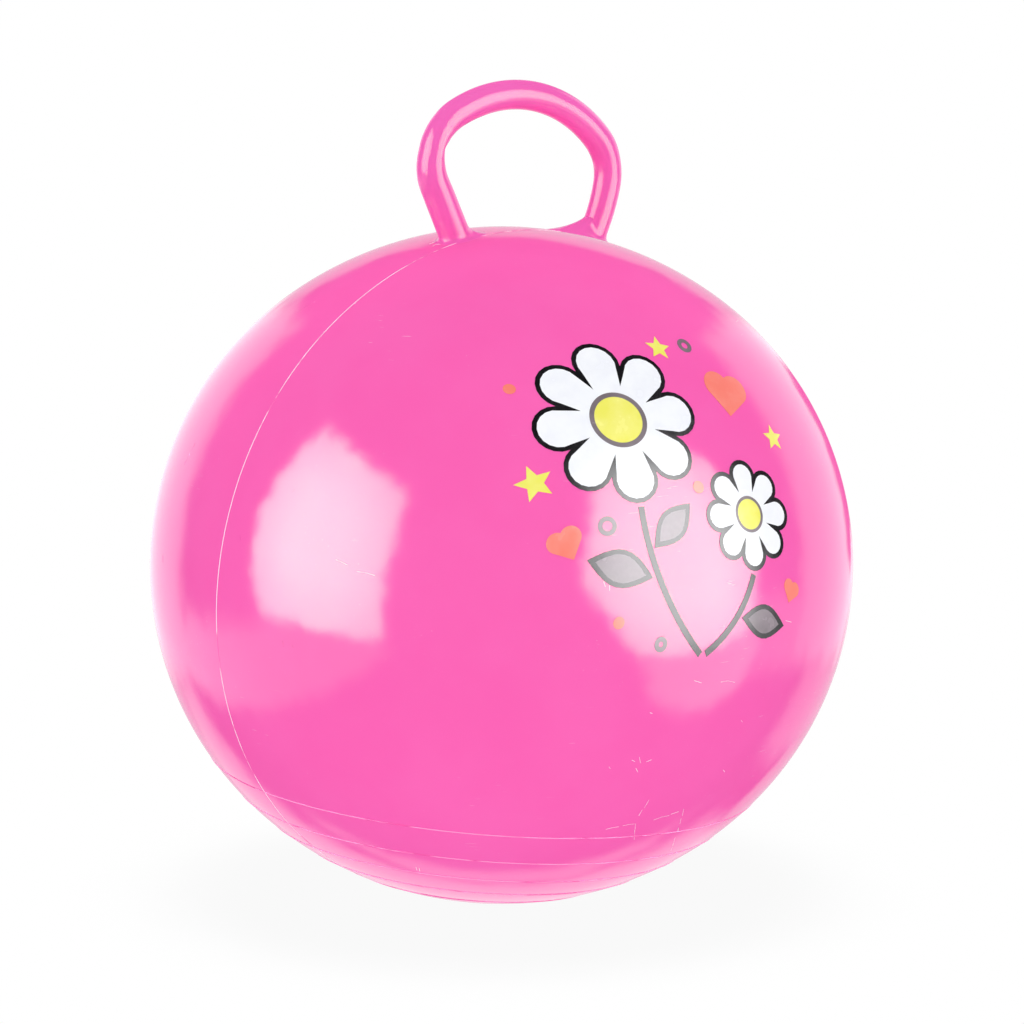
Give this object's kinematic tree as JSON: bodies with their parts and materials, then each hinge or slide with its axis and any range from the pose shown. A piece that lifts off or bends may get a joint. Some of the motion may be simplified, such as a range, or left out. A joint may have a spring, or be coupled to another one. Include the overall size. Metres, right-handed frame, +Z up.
{
  "type": "hopper ball",
  "caption": "Inflatable bouncing ball with a C-shaped tube handle on top, a plug valve at the back and a printed flower design on the front.",
  "frame": {"origin": "middle of the flat patch that the ball rests on, under the middle of the ball", "axes": "+Z up through the ball, the handle stands in the XZ plane, the print faces -Y and the valve +Y"},
  "size_m": [0.4508, 0.4501, 0.5261],
  "materials": {
    "skin_pvc": "high-gloss moulded PVC",
    "handle_pvc": "high-gloss moulded PVC",
    "valve_pvc": "satin moulded PVC",
    "plug_pvc": "satin moulded PVC",
    "ink_white": "glossy screen-printed ink",
    "ink_black": "glossy screen-printed ink",
    "ink_yellow": "glossy screen-printed ink",
    "ink_coral": "glossy screen-printed ink",
    "ink_grey": "glossy screen-printed ink"
  },
  "bodies": {
    "ball": {"ball_skin": "skin_pvc", "handle_loop": "handle_pvc", "valve_seat": "valve_pvc", "print_white": "ink_white", "print_black": "ink_black", "print_yellow": "ink_yellow", "print_coral": "ink_coral", "print_grey": "ink_grey"},
    "plug": {"valve_plug": "plug_pvc"}
  },
  "joints": [
    {"name": "plug_pull", "type": "slide", "parent": "ball", "child": "plug", "axis": [0, 0.9063, 0.4226], "range_m": [0, 0.03]}
  ]
}
